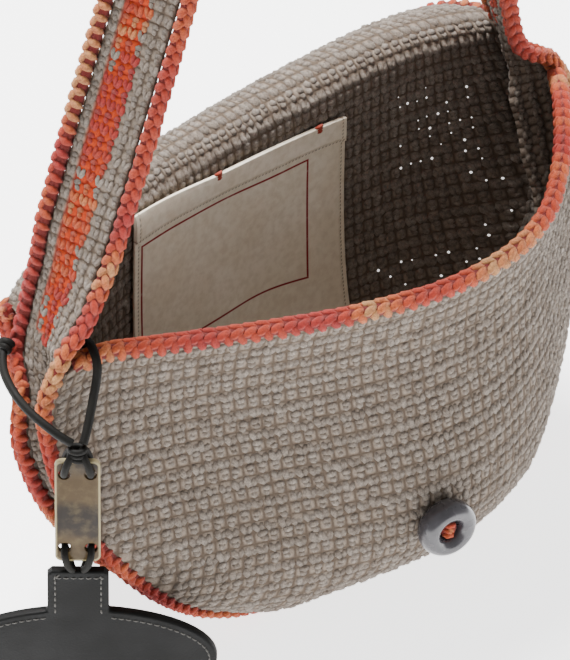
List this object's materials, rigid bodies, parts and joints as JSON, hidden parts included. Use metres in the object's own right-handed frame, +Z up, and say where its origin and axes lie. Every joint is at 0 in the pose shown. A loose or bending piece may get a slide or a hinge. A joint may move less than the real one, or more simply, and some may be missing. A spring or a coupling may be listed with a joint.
{
  "type": "crochet half moon shoulder bag",
  "caption": "Open crochet half moon bag with a one-piece gusset and shoulder strap, a flap thrown back, braided edgings, an inside pocket, a ring bead and a hanging charm.",
  "frame": {"origin": "centre of the flat underside of the gusset, where the bag stands", "axes": "+X towards the bag's right end seen from the front, +Y towards the back, +Z up the strap"},
  "size_m": [0.3695, 0.1851, 0.5539],
  "materials": {
    "grey_yarn": "knobbly single crochet, warm greige",
    "coral_yarn": "space-dyed coral, orange and raspberry braid",
    "canvas": "natural canvas twill",
    "bead_glass": "opaque glossy grey",
    "horn": "polished, banded",
    "leather": "smooth black"
  },
  "bodies": {
    "root": {"front_panel": "grey_yarn", "back_panel_flap": "grey_yarn", "gusset_strap": "grey_yarn", "front_edging": "coral_yarn", "rear_edging": "coral_yarn", "mouth_edging": "coral_yarn", "flap_edging": "coral_yarn", "pocket": "canvas", "button_bead": "bead_glass", "button_tie": "coral_yarn", "charm_plate": "horn", "charm_hitch": "leather", "charm_fob": "leather", "charm_cord_left": "leather", "charm_cord_right": "leather"}
  },
  "joints": []
}
